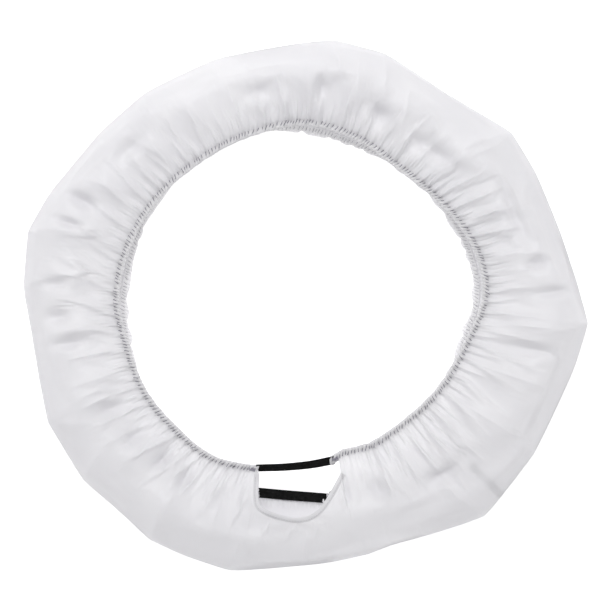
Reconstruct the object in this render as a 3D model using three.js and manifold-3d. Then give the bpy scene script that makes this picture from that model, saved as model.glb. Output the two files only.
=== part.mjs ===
// Spare tire cover: a ring-shaped sleeve of milky film that folds round the tyre, gathered front and
// back by elastic in stitched hems, with a notch at the bottom bridged by two elastic bands.
// The cover lies flat and empty, front face up. Millimetres, +Z up, origin under the middle of its box.
import * as THREE from "three";
import { mergeVertices } from "three/addons/utils/BufferGeometryUtils.js";
import Module from "manifold-3d";

const wasm = await Module();
wasm.setup();

// ---- driving sizes ----
const coverWidth = 690; // across the outer fold, left to right
const coverHeight = 648; // across the outer fold, notch to top
const crownHeight = 60; // top of the puffed front film
const foldHeight = 15; // where the outer fold is widest
const hemRise = 34; // the front film's height at its inner edge
const mouthWidth = 440; // the front opening, left to right
const mouthHeight = 411; // the front opening, notch to top
const mouthCentre = [-6, 11.5]; // the opening sits a little off the middle of the outline
const filmThickness = 1.2;
const gap = 0.3; // left between pieces that touch
const crownShare = 0.6; // where the front film is highest, from the mouth (0) to the fold (1)
const wallShare = 0.88; // where the front face meets the outer wall
const footShare = 0.93; // where the outer wall meets the back face

const casingWidth = 11;
const casingDepth = 7;
const casingSheet = 1;
const casingNose = 2; // how far the casing's fold rounds over
const hemElasticThickness = 1.6;
const elasticClearance = 1; // between the elastic's edge and the stitching
const threadWidth = 0.8;

const bandWidth = 12;
const bandThickness = 1.5;
const bandEndLength = 14;
const upperBandTilt = 44; // degrees, the upper band stands half on its edge
const upperBandInset = casingWidth / 2; // the band's middle line meets the middle of the hem
const lowerBandInset = 5.5; // from the back hem's inner edge to the band's middle line
const bartackLength = 2.5;
const bartackHeight = 0.8;

const notchHemWidth = 6;
const notchHemThickness = 2;
const notchStitchInset = 4.2; // from the notch's edge to its stitching
const seamAngle = -44; // degrees, where the ends of the film strip are joined
const seamWidth = 8;
const seamThickness = 0.8;
const seamClearance = 1.2; // between the seam's inner end and the back hem

// Where each hem stops on either side of the notch, in degrees.
const frontHemEnds = { left: -106.2, right: -81.4 };
const backHemEnds = { left: -104.2, right: -84.6 };

// ---- outlines ----
// Corners of the crumpled outer fold, as shares of half the width and half the height.
const foldCorners = [
  [1.0, -0.07], [0.95, 0.12], [0.88, 0.31], [0.81, 0.5], [0.73, 0.65], [0.51, 0.78],
  [0.28, 0.95], [0.1, 1.0], [-0.15, 0.96], [-0.33, 0.92], [-0.57, 0.8], [-0.73, 0.65],
  [-0.91, 0.42], [-0.985, 0.28], [-1.0, 0.07], [-0.965, -0.105], [-0.915, -0.44], [-0.79, -0.66],
  [-0.635, -0.8], [-0.555, -0.885], [-0.43, -0.945], [-0.275, -1.0], [0.05, -0.97], [0.225, -0.935],
  [0.3, -0.9], [0.63, -0.8], [0.65, -0.78], [0.805, -0.56], [0.95, -0.24],
].map(([x, y]) => [(x * coverWidth) / 2, (y * coverHeight) / 2]);

// The front hem's inner edge, as shares of half the opening about its own middle.
const mouthPoints = [
  [1.0, 0.01], [0.95, 0.27], [0.77, 0.53], [0.535, 0.74], [0.29, 0.92], [0.03, 1.0],
  [-0.255, 0.945], [-0.52, 0.805], [-0.74, 0.615], [-0.92, 0.33], [-1.0, -0.03], [-0.95, -0.265],
  [-0.85, -0.555], [-0.685, -0.77], [-0.475, -0.945], [-0.23, -1.0], [-0.02, -0.99], [0.155, -0.955],
  [0.225, -0.905], [0.37, -0.87], [0.545, -0.745], [0.75, -0.54], [0.895, -0.275],
].map(([x, y]) => [
  mouthCentre[0] + (x * mouthWidth) / 2,
  mouthCentre[1] + (y * mouthHeight) / 2,
]);

// How far the back hem lies outside the front hem: [degrees, millimetres].
const backHemOffsets = [
  [10, -11], [50, 3], [80, -9], [110, 2], [140, 2], [172, -9],
  [200, 3], [230, 20], [256, 30], [275, 41], [300, 22], [335, 2],
];

const turn = 360;
const radians = THREE.MathUtils.degToRad;

function angleOf([x, y]) {
  return (THREE.MathUtils.radToDeg(Math.atan2(y, x)) + turn) % turn;
}

function wrapped(angle) {
  return ((angle % turn) + turn) % turn;
}

// Radius at an angle of the straight line through two points.
function chordRadius(from, to, angle) {
  const along = [to[0] - from[0], to[1] - from[1]];
  const ray = [Math.cos(radians(angle)), Math.sin(radians(angle))];
  return (from[0] * along[1] - from[1] * along[0]) / (ray[0] * along[1] - ray[1] * along[0]);
}

// The two neighbours of an angle in a list sorted by angle, and how far between them it is.
function bracket(angles, angle) {
  const a = wrapped(angle);
  let next = angles.findIndex((value) => value > a);
  if (next < 0) next = 0;
  const before = (next + angles.length - 1) % angles.length;
  const span = wrapped(angles[next] - angles[before]);
  return { before, next, span, share: wrapped(a - angles[before]) / span };
}

const byAngle = (a, b) => angleOf(a) - angleOf(b);
const fold = [...foldCorners].sort(byAngle);
const foldAngles = fold.map(angleOf);

function foldRadius(angle) {
  const { before, next } = bracket(foldAngles, angle);
  return chordRadius(fold[before], fold[next], angle);
}

// A smooth closed curve of value against angle through [degrees, value] pairs.
function smoothLoop(pairs) {
  const angles = pairs.map(([a]) => a);
  const values = pairs.map(([, v]) => v);
  const count = pairs.length;
  const slope = (i) => {
    const ahead = (i + 1) % count;
    const behind = (i + count - 1) % count;
    return (values[ahead] - values[behind]) / wrapped(angles[ahead] - angles[behind]);
  };
  return (angle) => {
    const { before, next, span, share: t } = bracket(angles, angle);
    const ease = t * t * (3 - 2 * t);
    const start = span * slope(before) * t * (1 - t) * (1 - t);
    const end = span * slope(next) * t * t * (t - 1);
    return values[before] * (1 - ease) + values[next] * ease + start + end;
  };
}

const mouthRadius = smoothLoop(
  [...mouthPoints].sort(byAngle).map((p) => [angleOf(p), Math.hypot(...p)]),
);
const backOffset = smoothLoop(backHemOffsets);
const backMouthRadius = (angle) => mouthRadius(angle) + backOffset(angle);

// Angles round the whole ring: every corner of the fold, steps between them, and the hems' ends.
const largestStep = 6.5;
const hemEndAngles = [...Object.values(frontHemEnds), ...Object.values(backHemEnds)].map(wrapped);

function ringStations() {
  const all = [...hemEndAngles];
  foldAngles.forEach((from, i) => {
    const span = wrapped(foldAngles[(i + 1) % foldAngles.length] - from);
    const steps = Math.ceil(span / largestStep);
    for (let k = 0; k < steps; k++) all.push(wrapped(from + (span * k) / steps));
  });
  const closest = 0.8;
  const isEnd = (a) => hemEndAngles.includes(a);
  return all
    .filter((a) => isEnd(a) || hemEndAngles.every((e) => Math.abs(a - e) > closest))
    .sort((a, b) => a - b);
}

const stations = ringStations();

// Angles from one end to the other, anticlockwise, with the ring's own stations between them.
function arcStations(from, to) {
  const span = wrapped(to - from);
  const inside = stations.map((a) => wrapped(a - from)).filter((a) => a > 0.01 && a < span - 0.01);
  return [0, ...inside.sort((a, b) => a - b), span].map((a) => from + a);
}

// ---- solids from sections ----
function meshGeometry(positions, triangles) {
  const geometry = new THREE.BufferGeometry();
  geometry.setAttribute("position", new THREE.Float32BufferAttribute(positions.flat(), 3));
  geometry.setIndex(triangles.flat());
  return geometry;
}

function signedVolume(positions, triangles) {
  const [a, b, c] = [new THREE.Vector3(), new THREE.Vector3(), new THREE.Vector3()];
  return triangles.reduce((sum, [i, j, k]) => {
    a.fromArray(positions[i]);
    b.fromArray(positions[j]);
    c.fromArray(positions[k]);
    return sum + a.dot(b.cross(c)) / 6;
  }, 0);
}

// One solid through loops of equal length; open runs are capped with the triangles of `section`.
function loft(loops, section, closed) {
  const count = loops[0].length;
  const positions = loops.flat();
  const triangles = [];
  const runs = closed ? loops.length : loops.length - 1;
  for (let i = 0; i < runs; i++) {
    const here = i * count;
    const there = ((i + 1) % loops.length) * count;
    for (let j = 0; j < count; j++) {
      const k = (j + 1) % count;
      triangles.push([here + j, there + j, there + k], [here + j, there + k, here + k]);
    }
  }
  if (!closed) {
    const contour = section.map(([x, y]) => new THREE.Vector2(x, y));
    const last = (loops.length - 1) * count;
    for (const [a, b, c] of THREE.ShapeUtils.triangulateShape(contour, [])) {
      triangles.push([a, b, c], [last + c, last + b, last + a]);
    }
  }
  if (signedVolume(positions, triangles) < 0) triangles.forEach((t) => t.reverse());
  return meshGeometry(positions, triangles);
}

// Anticlockwise outline of a line of [r, z] points given a thickness.
function thicken(line, thickness) {
  const half = thickness / 2;
  const normals = line.map((point, i) => {
    const from = line[Math.max(i - 1, 0)];
    const to = line[Math.min(i + 1, line.length - 1)];
    const length = Math.hypot(to[0] - from[0], to[1] - from[1]);
    return [(from[1] - to[1]) / length, (to[0] - from[0]) / length];
  });
  const side = (sign) =>
    line.map(([r, z], i) => [r + sign * half * normals[i][0], z + sign * half * normals[i][1]]);
  const outline = [...side(-1), ...side(1).reverse()];
  const area = THREE.ShapeUtils.area(outline.map(([x, y]) => new THREE.Vector2(x, y)));
  return area < 0 ? outline.reverse() : outline;
}

function place(angle, [r, z]) {
  return [r * Math.cos(radians(angle)), r * Math.sin(radians(angle)), z];
}

// A solid whose [r, z] section at each angle is given by `sectionAt`.
function sweep(angles, sectionAt, closed = false) {
  const sections = angles.map(sectionAt);
  const loops = sections.map((section, i) => section.map((point) => place(angles[i], point)));
  return loft(loops, sections[0], closed);
}

function rectangle(r, z, width, height, tilt = 0) {
  const [c, s] = [Math.cos(radians(tilt)), Math.sin(radians(tilt))];
  const corners = [[-1, -1], [1, -1], [1, 1], [-1, 1]];
  return corners.map(([u, v]) => {
    const [across, up] = [(u * width) / 2, (v * height) / 2];
    return [r + across * c - up * s, z + across * s + up * c];
  });
}

function solidOf(geometry) {
  const bare = geometry.clone();
  bare.deleteAttribute("normal");
  bare.deleteAttribute("uv");
  const merged = mergeVertices(bare, 1e-3);
  return new wasm.Manifold(
    new wasm.Mesh({
      numProp: 3,
      vertProperties: merged.attributes.position.array,
      triVerts: new Uint32Array(merged.index.array),
    }),
  );
}

function cut(geometry, tool) {
  const { vertProperties, triVerts } = solidOf(geometry).subtract(solidOf(tool)).getMesh();
  const result = new THREE.BufferGeometry();
  result.setAttribute("position", new THREE.BufferAttribute(new Float32Array(vertProperties), 3));
  result.setIndex(Array.from(triVerts));
  return result;
}

// ---- the film's shape ----
const sheetMiddle = filmThickness / 2;
const crownMiddle = crownHeight - sheetMiddle;

function frontHeight(share) {
  if (share <= crownShare) {
    return hemRise + (crownMiddle - hemRise) * Math.sin(((Math.PI / 2) * share) / crownShare);
  }
  const beyond = Math.min((share - crownShare) / (1 - crownShare), 1);
  return foldHeight + (crownMiddle - foldHeight) * Math.sqrt(1 - beyond * beyond);
}

function ringRadius(angle, share) {
  const outer = foldRadius(angle) - sheetMiddle;
  return mouthRadius(angle) + share * (outer - mouthRadius(angle));
}

function shareAt(angle, radius) {
  return (radius - mouthRadius(angle)) / (foldRadius(angle) - sheetMiddle - mouthRadius(angle));
}

function frontPoint(angle, share) {
  return [ringRadius(angle, share), frontHeight(share)];
}

// Height of the front film's middle over a point of the floor.
function frontSurface(x, y) {
  const angle = angleOf([x, y]);
  return frontHeight(shareAt(angle, Math.hypot(x, y)));
}

// A film line's end moved in by half a gap, so that neighbours don't touch.
function trimmed(line, start = true, end = true) {
  const moved = line.map((point) => [...point]);
  const pull = (tip, next) => {
    const length = Math.hypot(next[0] - tip[0], next[1] - tip[1]);
    return tip.map((value, i) => value + ((next[i] - value) * gap) / 2 / length);
  };
  if (start) moved[0] = pull(line[0], line[1]);
  if (end) moved[moved.length - 1] = pull(line[line.length - 1], line[line.length - 2]);
  return moved;
}

// The outer wall's lower half: from flat on the floor (0) to upright at the fold (1).
function footPoint(angle, turnShare) {
  const bend = (turnShare * Math.PI) / 2;
  const share = footShare + (1 - footShare) * Math.sin(bend);
  return [ringRadius(angle, share), foldHeight - (foldHeight - sheetMiddle) * Math.cos(bend)];
}

// Where the sections bend: turns of the foot, and shares of the ring's width on the front film.
const footTurns = [0, 0.35, 0.7, 1];
const upperWallShares = [1, 0.985, 0.95, wallShare];
const frontFaceShares = [wallShare, 0.8, 0.7, crownShare];
const gatherShares = [crownShare, 0.42, 0.24];

function lowerWallLine(angle) {
  return footTurns.map((turned) => footPoint(angle, turned));
}

function upperWallLine(angle) {
  return upperWallShares.map((share) => frontPoint(angle, share));
}

// The outer wall is built in eight lengths, so that each stays close to the curve of the fold.
const wallLength = 45; // degrees
const wallMiddles = {
  right: 0,
  top_right: 45,
  top: 90,
  top_left: 135,
  left: 180,
  bottom_left: 225,
  bottom: 270,
  bottom_right: 315,
};

function filmWall(lineAt, middle) {
  const clear = THREE.MathUtils.radToDeg(gap / 2 / foldRadius(middle));
  const reach = wallLength / 2 - clear;
  const angles = arcStations(middle - reach, middle + reach);
  return sweep(angles, (a) => thicken(trimmed(lineAt(a)), filmThickness));
}

function filmBackFace() {
  return sweep(
    stations,
    (a) => {
      const inner = backMouthRadius(a) + casingWidth + gap;
      const outer = ringRadius(a, footShare) - gap;
      return rectangle((inner + outer) / 2, sheetMiddle, outer - inner, filmThickness);
    },
    true,
  );
}

function filmFrontFace() {
  const lineAt = (a) => frontFaceShares.map((share) => frontPoint(a, share));
  const ring = sweep(stations, (a) => thicken(trimmed(lineAt(a)), filmThickness), true);
  return cut(ring, notchTool());
}

// Share of the ring's width at which the front film meets the casing.
function casingShareAt(angle) {
  return shareAt(angle, mouthRadius(angle) + casingWidth + gap / 2);
}

function filmFrontGather() {
  const lineAt = (a) => [...gatherShares, casingShareAt(a)].map((share) => frontPoint(a, share));
  const ring = sweep(stations, (a) => thicken(trimmed(lineAt(a)), filmThickness), true);
  return cut(ring, notchTool());
}

// ---- hems ----
const casingMiddle = (casingDepth - casingSheet) / 2;

function frontCasingHeight(angle) {
  return frontHeight(casingShareAt(angle)) - casingMiddle;
}

const backCasingHeight = casingDepth / 2;

const hems = {
  front: {
    radius: mouthRadius,
    height: frontCasingHeight,
    arc: [frontHemEnds.right, frontHemEnds.left],
  },
  back: {
    radius: backMouthRadius,
    height: () => backCasingHeight,
    arc: [backHemEnds.right, backHemEnds.left],
  },
};

function hemCasing({ radius, height, arc }) {
  return sweep(arcStations(...arc), (a) => {
    const [r, z] = [radius(a) + casingSheet / 2, height(a)];
    const line = [
      [r + casingWidth - casingSheet / 2, z - casingMiddle],
      [r + casingNose, z - casingMiddle],
      [r, z],
      [r + casingNose, z + casingMiddle],
      [r + casingWidth - casingSheet / 2, z + casingMiddle],
    ];
    return thicken(trimmed(line), casingSheet);
  });
}

// Radii inside a casing, measured from its inner edge. The elastic fills what the stitching leaves.
const cavityStart = casingSheet + casingNose;
const stitchMiddle = casingWidth - threadWidth;
const elasticWidth = stitchMiddle - threadWidth / 2 - elasticClearance - cavityStart;
const elasticMiddle = cavityStart + elasticWidth / 2;

function degreesAlong(radius, length) {
  return THREE.MathUtils.radToDeg(length / radius);
}

// The hem elastic stops where the ends of the band are sewn to it.
function hemElastic({ radius, height, arc: [from, to] }) {
  const tab = (end) => degreesAlong(radius(end), bandEndLength + 2 * gap);
  return sweep(arcStations(from + tab(from), to - tab(to)), (a) =>
    rectangle(radius(a) + elasticMiddle, height(a), elasticWidth, hemElasticThickness),
  );
}

function hemStitching({ radius, height, arc }) {
  const stitchHeight = casingDepth - 2 * casingSheet - 2 * gap;
  return sweep(arcStations(...arc), (a) =>
    rectangle(radius(a) + stitchMiddle, height(a), threadWidth, stitchHeight),
  );
}

// ---- bands ----
// The sewn end of a band, pinched to the elastic's width inside a hem: side +1 runs on past the hem's right end, -1 past its left.
function bandEnd({ radius, height, arc: [from, to] }, side) {
  const end = side > 0 ? from : to;
  const away = degreesAlong(radius(end), bandEndLength) * side;
  const angles = side > 0 ? arcStations(end, end + away) : arcStations(end + away, end);
  return sweep(angles, (a) =>
    rectangle(radius(a) + elasticMiddle, height(a), elasticWidth, bandThickness),
  );
}

// A row of close stitches over a hem's end, through the casing and the band.
function bartack({ radius, height, arc: [from, to] }, side) {
  const end = side > 0 ? from : to;
  const middle = end + degreesAlong(radius(end), bandEndLength / 2) * side;
  const half = degreesAlong(radius(end), bartackLength / 2);
  return sweep([middle - half, middle + half], (a) => {
    const top = height(middle) + casingDepth / 2 + 2 * gap + bartackHeight / 2;
    return rectangle(radius(a) + elasticMiddle, top, elasticWidth, bartackHeight);
  });
}

// The free span of a band, straight from the hem's left end to its right end.
function bandSpan({ radius, height, arc: [from, to] }, inset, tilt) {
  const point = (a) => place(a, [radius(a) + inset, 0]);
  const clear = degreesAlong(radius(to), 2 * gap);
  const [start, end] = [to + clear, from - clear];
  const [left, right] = [point(start), point(end)];
  const steps = 6;
  const angles = Array.from({ length: steps + 1 }, (_, i) => start + ((end - start) * i) / steps);
  return sweep(angles, (a) => {
    const share = (a - start) / (end - start);
    const z = height(start) * (1 - share) + height(end) * share;
    return rectangle(chordRadius(left, right, a), z, bandWidth, bandThickness, tilt);
  });
}

// ---- notch ----
// The notch's edge in plan, from the left hem end round its foot to the right hem end.
const notchDepth = 63; // from the front hem's edge to the foot of the notch
const notchTop = mouthCentre[1] - mouthHeight / 2;
const notchLeft = -57;
const notchFoot = notchTop - notchDepth;
// The notch's left side starts below both the hem and the tilted upper band.
const upperBandReach =
  upperBandInset +
  (bandWidth / 2) * Math.cos(radians(upperBandTilt)) +
  (bandThickness / 2) * Math.sin(radians(upperBandTilt)) +
  2 * gap;
const notchStart = Math.max(casingWidth, upperBandReach);
const notchSides = {
  left: [[notchLeft, notchTop - notchStart], [notchLeft, notchFoot + 20]],
  foot: [
    [notchLeft + 0.5, notchFoot + 19.5],
    [-47, notchFoot + 9],
    [-28, notchFoot + 3],
    [-10, notchFoot],
    [8, notchFoot + 5],
    [22, notchFoot + 20.5],
  ],
  right: [[22.5, notchFoot + 21.3], [37, notchTop - casingWidth + 2]],
};

// Points of a notch side pushed outward, away from the opening.
function pushed(points, distance) {
  return points.map((point, i) => {
    const from = points[Math.max(i - 1, 0)];
    const to = points[Math.min(i + 1, points.length - 1)];
    const length = Math.hypot(to[0] - from[0], to[1] - from[1]);
    const outward = [(to[1] - from[1]) / length, (from[0] - to[0]) / length];
    return [point[0] + outward[0] * distance, point[1] + outward[1] * distance];
  });
}

// A flat strip along plan points, between two distances from them, lying on the front film.
function strip(points, near, far, lift, thickness) {
  const [inner, outer] = [pushed(points, near), pushed(points, far)];
  const loops = points.map((_, i) => {
    const corner = ([x, y], up) => [x, y, frontSurface(x, y) + lift + up];
    const half = thickness / 2;
    return [
      corner(inner[i], -half),
      corner(outer[i], -half),
      corner(outer[i], half),
      corner(inner[i], half),
    ];
  });
  const section = [[0, 0], [far - near, 0], [far - near, thickness], [0, thickness]];
  return loft(loops, section, false);
}

const wholeNotch = [...notchSides.left, ...notchSides.foot, ...notchSides.right];

// The space cleared of film for the notch and its turned edge.
function notchTool() {
  const edge = pushed(wholeNotch, notchHemWidth + gap);
  const inside = notchTop + notchDepth; // well inside the mouth
  const outline = [[edge[0][0], inside], ...edge, [edge[edge.length - 1][0] + casingWidth, inside]];
  const shape = new THREE.Shape(outline.map(([x, y]) => new THREE.Vector2(x, y)));
  const tool = new THREE.ExtrudeGeometry(shape, { depth: 2 * crownHeight, bevelEnabled: false });
  return tool.translate(0, 0, -crownHeight / 2);
}

function frontNotchHem(side) {
  return strip(notchSides[side], 0, notchHemWidth, 0, notchHemThickness);
}

function frontNotchStitching() {
  const lift = notchHemThickness / 2 + gap + threadWidth / 2;
  return strip(wholeNotch, notchStitchInset, notchStitchInset + threadWidth, lift, threadWidth);
}

// The back film's turned edge under the lower band.
function backNotchHem() {
  const clear = degreesAlong(backMouthRadius(backHemEnds.left), gap);
  const angles = arcStations(backHemEnds.left + clear, backHemEnds.right - clear);
  const middle = casingWidth - notchHemWidth / 2;
  const height = notchHemThickness / 2;
  return sweep(angles, (a) =>
    rectangle(backMouthRadius(a) + middle, height, notchHemWidth, notchHemThickness),
  );
}

// ---- joining seam ----
// A tape inside the sleeve where the two ends of the film strip meet.
function seamSection(angle) {
  const inward = sheetMiddle + 2 * gap + seamThickness / 2;
  const start = [backMouthRadius(angle) + casingWidth + seamClearance, sheetMiddle];
  const wall = [...lowerWallLine(angle), ...upperWallLine(angle).slice(1)];
  const front = frontFaceShares.slice(-2).map((share) => frontPoint(angle, share));
  const line = [start, ...wall, ...front];
  const middle = [ringRadius(angle, crownShare), crownHeight / 2];
  const inside = line.map(([r, z], i) => {
    const from = line[Math.max(i - 1, 0)];
    const to = line[Math.min(i + 1, line.length - 1)];
    const length = Math.hypot(to[0] - from[0], to[1] - from[1]);
    const normal = [(from[1] - to[1]) / length, (to[0] - from[0]) / length];
    const towards = (middle[0] - r) * normal[0] + (middle[1] - z) * normal[1] > 0 ? 1 : -1;
    return [r + normal[0] * inward * towards, z + normal[1] * inward * towards];
  });
  return thicken(inside, seamThickness);
}

function joiningSeam() {
  const half = degreesAlong(foldRadius(seamAngle), seamWidth / 2);
  return sweep([seamAngle - half, seamAngle + half], seamSection);
}

// ---- materials ----
function film() {
  return new THREE.MeshStandardMaterial({
    color: 0xe4e4e8,
    roughness: 0.35,
    metalness: 0,
    transparent: true,
    opacity: 0.85,
  });
}

function blackElastic() {
  return new THREE.MeshStandardMaterial({ color: 0x151515, roughness: 0.9, metalness: 0 });
}

function hiddenElastic() {
  return new THREE.MeshStandardMaterial({ color: 0xd8d6d2, roughness: 0.85, metalness: 0 });
}

function thread() {
  return new THREE.MeshStandardMaterial({ color: 0x8c8a93, roughness: 0.8, metalness: 0 });
}

// ---- assembly ----
const cover = new THREE.Group();
cover.name = "spare_tire_cover";

function add(name, geometry, material) {
  const mesh = new THREE.Mesh(geometry, material);
  mesh.name = name;
  cover.add(mesh);
}

add("film_back_face", filmBackFace(), film());
for (const [side, middle] of Object.entries(wallMiddles)) {
  add(`film_lower_wall_${side}`, filmWall(lowerWallLine, middle), film());
  add(`film_upper_wall_${side}`, filmWall(upperWallLine, middle), film());
}
add("film_front_face", filmFrontFace(), film());
add("film_front_gather", filmFrontGather(), film());
add("joining_seam", joiningSeam(), film());

const bandNames = { front: "upper", back: "lower" };
for (const [face, hem] of Object.entries(hems)) {
  const band = bandNames[face];
  add(`${face}_hem_casing`, hemCasing(hem), film());
  add(`${face}_hem_elastic`, hemElastic(hem), hiddenElastic());
  add(`${face}_hem_stitching`, hemStitching(hem), thread());
  add(`${band}_band_left_end`, bandEnd(hem, -1), blackElastic());
  add(`${band}_band_right_end`, bandEnd(hem, 1), blackElastic());
  add(`${band}_left_bartack`, bartack(hem, -1), thread());
  add(`${band}_right_bartack`, bartack(hem, 1), thread());
}
add("upper_band", bandSpan(hems.front, upperBandInset, upperBandTilt), blackElastic());
add("lower_band", bandSpan(hems.back, lowerBandInset, 0), blackElastic());

for (const side of Object.keys(notchSides)) {
  add(`front_notch_hem_${side}`, frontNotchHem(side), film());
}
add("front_notch_stitching", frontNotchStitching(), thread());
add("back_notch_hem", backNotchHem(), film());

export default cover;
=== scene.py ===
import math

import bpy
import numpy as np
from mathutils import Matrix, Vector
from mathutils.bvhtree import BVHTree


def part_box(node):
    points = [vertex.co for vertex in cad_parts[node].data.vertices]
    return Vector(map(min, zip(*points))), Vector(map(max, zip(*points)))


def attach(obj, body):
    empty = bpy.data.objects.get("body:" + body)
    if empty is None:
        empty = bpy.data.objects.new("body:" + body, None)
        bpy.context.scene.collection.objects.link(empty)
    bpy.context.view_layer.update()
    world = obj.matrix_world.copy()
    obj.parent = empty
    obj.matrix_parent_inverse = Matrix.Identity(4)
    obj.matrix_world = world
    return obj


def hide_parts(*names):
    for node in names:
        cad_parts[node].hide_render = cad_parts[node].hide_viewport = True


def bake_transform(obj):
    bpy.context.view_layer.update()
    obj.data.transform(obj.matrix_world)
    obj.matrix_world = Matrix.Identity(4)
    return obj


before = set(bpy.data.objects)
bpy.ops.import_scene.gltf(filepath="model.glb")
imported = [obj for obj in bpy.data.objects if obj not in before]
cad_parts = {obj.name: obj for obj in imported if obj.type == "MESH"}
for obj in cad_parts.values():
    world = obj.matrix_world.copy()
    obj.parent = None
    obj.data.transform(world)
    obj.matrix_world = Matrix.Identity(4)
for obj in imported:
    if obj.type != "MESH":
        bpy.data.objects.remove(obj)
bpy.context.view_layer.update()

TAU = 2 * math.pi
MM = 0.001

# ---- driving sizes of the look ----
CROWN_SHARE = 0.6  # where the front film is highest, from the hem (0) to the fold (1)
FOOT_SHARE = 0.93  # where the outer wall turns on to the floor
SHEET = 0.6 * MM  # height of the film's middle where it lies on the floor
STRIP_SLACK = 1.035  # the strip's length over the fold's, taken up by crumples
HEM_SLACK = 0.86  # share of the strip's length at the hems that isn't in the finest gathers
HEM_WIDTH = 7.2 * MM  # from a hem's inner edge to where the loose film starts
FILM_OVER_HEM = 1.3 * MM  # the front film starts on top of its hem
FILM_UNDER_HEM = 1.5 * MM  # the back film starts under its hem
MOST_MOVE = 14 * MM  # the furthest the film settles away from its plain section

CLOTH_COLUMNS = 720
FRONT_ROWS = 27  # from the front hem to the fold
FOOT_ROWS = 4  # from the fold down to the floor
BACK_ROWS = 14  # over the floor to the back hem
BACK_ROW_WIDTH = 4.5 * MM
ROWS = FRONT_ROWS + FOOT_ROWS + BACK_ROWS
SIM_FRAMES = 30
FINE = 3  # finished columns for each cloth column

# Folds merge as they leave the hem: [pitch at the hem, height, where they start, peak and end].
FRONT_FOLDS = [
    (12 * MM, 2.9 * MM, -0.1, 0.0, 0.45),
    (25 * MM, 5.2 * MM, 0.0, 0.22, 0.75),
    (52 * MM, 5.5 * MM, 0.1, 0.4, 0.95),
]
FOLD_LEAN = 0.16  # radians, how far folds lean off the straight way out
BACK_FOLD_PITCH = 12 * MM

# Deep pockets where folds end: [degrees, share of the width, depth, length outwards, width].
POCKETS = [
    (103, 0.45, 9, 12, 15), (86, 0.4, 8, 15, 8), (69, 0.35, 10, 11, 12), (50, 0.35, 9, 9, 24),
    (138, 0.6, 8, 9, 20), (155, 0.62, 9, 18, 8), (161, 0.6, 8, 16, 6), (175, 0.63, 8, 14, 8),
    (183, 0.65, 9, 14, 10), (189, 0.58, 8, 18, 7), (208, 0.37, 8, 16, 9), (217, 0.31, 9, 16, 8),
    (227, 0.27, 10, 16, 6), (235, 0.32, 10, 15, 6), (246, 0.32, 7, 14, 9), (282, 0.35, 9, 18, 7),
    (291, 0.42, 10, 14, 9), (309, 0.53, 9, 10, 20), (349, 0.57, 7, 26, 7), (24, 0.58, 8, 9, 26),
    (10, 0.6, 9, 12, 9), (3, 0.68, 6, 20, 6),
]
POCKET_STRENGTH = 1.5  # times each pocket's depth

CREASE_HEIGHT = 4.5 * MM
CREASE_WIDTH = 15 * MM
CREASE_LEAN = 0.12  # radians, how far a crease leans over the film's width
CORNER_BEND = 2.5 * MM  # how sharply the outer fold bends where a crease runs in

GATHER_PITCH = 4.3 * MM  # from one fine gather to the next along a hem
GATHER_HEIGHT = 0.9 * MM
GATHER_REACH = 14 * MM  # how far the fine gathers run out over the film
GATHER_SLANT = 0.45  # how far a gather drifts along the hem for each step away from it
FRONT_SEED = 201  # the gathers of a hem and of the film beside it share a seed
BACK_SEED = 301

CASING_WIDTH = 10 * MM
CASING_HALF = 2.1 * MM  # half a casing's thickness at its fullest
NOSE_LENGTH = 2.2 * MM  # the rounded inner edge of a casing
PINCH_WIDTH = 1.2 * MM  # how far a row of stitches draws the casing in beside it
FRONT_LOBES = 1 * MM  # how far a casing's ruffles reach into the opening
BACK_LOBES = 5 * MM
BACK_HEM_TUCK = math.radians(2.2)  # the back hem starts under the notch's right edge
ELASTIC_COLUMNS = np.array([2.4, 4.4, 6.4]) * MM  # from a hem's inner edge
ELASTIC_HALF = 0.5 * MM
ELASTIC_RIB = 0.06 * MM

STITCH_LIFT = 1.8 * MM  # from the hem's middle to its stitches, which lie on the gathers
STITCH_ROW = 5.6 * MM  # from the hem's inner edge
STITCH_SHORTEST = 1.5 * MM  # half a hem stitch's length
STITCH_LONGEST = 2.7 * MM
HEM_THREAD = 0.42 * MM  # radius of the hems' thread
THREAD_SIDES = 5

NOTCH_HEM = 6 * MM
# The notch's foot, as shares of its width and of its depth below its left side.
NOTCH_FOOT = [(0.0, 0.0), (0.13, 0.54), (0.36, 0.85), (0.59, 1.0), (0.82, 0.74), (1.0, 0.0)]
NOTCH_STITCH_ROW = 4.2 * MM  # from the notch's edge
NOTCH_STITCH_LIFT = 0.55 * MM
NOTCH_STITCH_PITCH = 3.4 * MM
NOTCH_STITCH_LENGTH = 2.3 * MM
NOTCH_THREAD = 0.2 * MM
BACK_NOTCH_INSET = 5 * MM  # from the back hem's line to the turned edge under the lower band

TACK_LENGTH = 8 * MM
TACK_WIDTH = 4.4 * MM
TACK_TURNS = 13
TACK_LIFT = 2.6 * MM  # from a hem's middle to the zigzag on it
TACK_THREAD = 0.32 * MM

# A band's middle line, as shares of its CAD box, and how far it is turned about its length.
UPPER_PATH = [
    (-0.02, 0.34, 0.45), (0.37, 0.4, 0.45), (0.72, 0.56, 0.45), (0.99, 0.8, 0.45), (1.06, 0.86, 0.45),
]
UPPER_TILT = [48, 46, 42, 36]
LOWER_PATH = [(-0.1, 0.66, 1.2), (0.45, 0.43, 1.3), (1.2, 0.15, 1.3)]
LOWER_TILT = [0, 0]
BAND_WIDTH = 12 * MM
BAND_THICKNESS = 1.3 * MM
BAND_RIBS = 9
BAND_STATIONS = 60
END_WIDTH = 4 * MM  # a band's sewn end, gathered inside the hem
END_THICKNESS = 0.8 * MM
END_RIBS = 3
END_INSET = 4.4 * MM  # from the hem's inner edge

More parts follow.
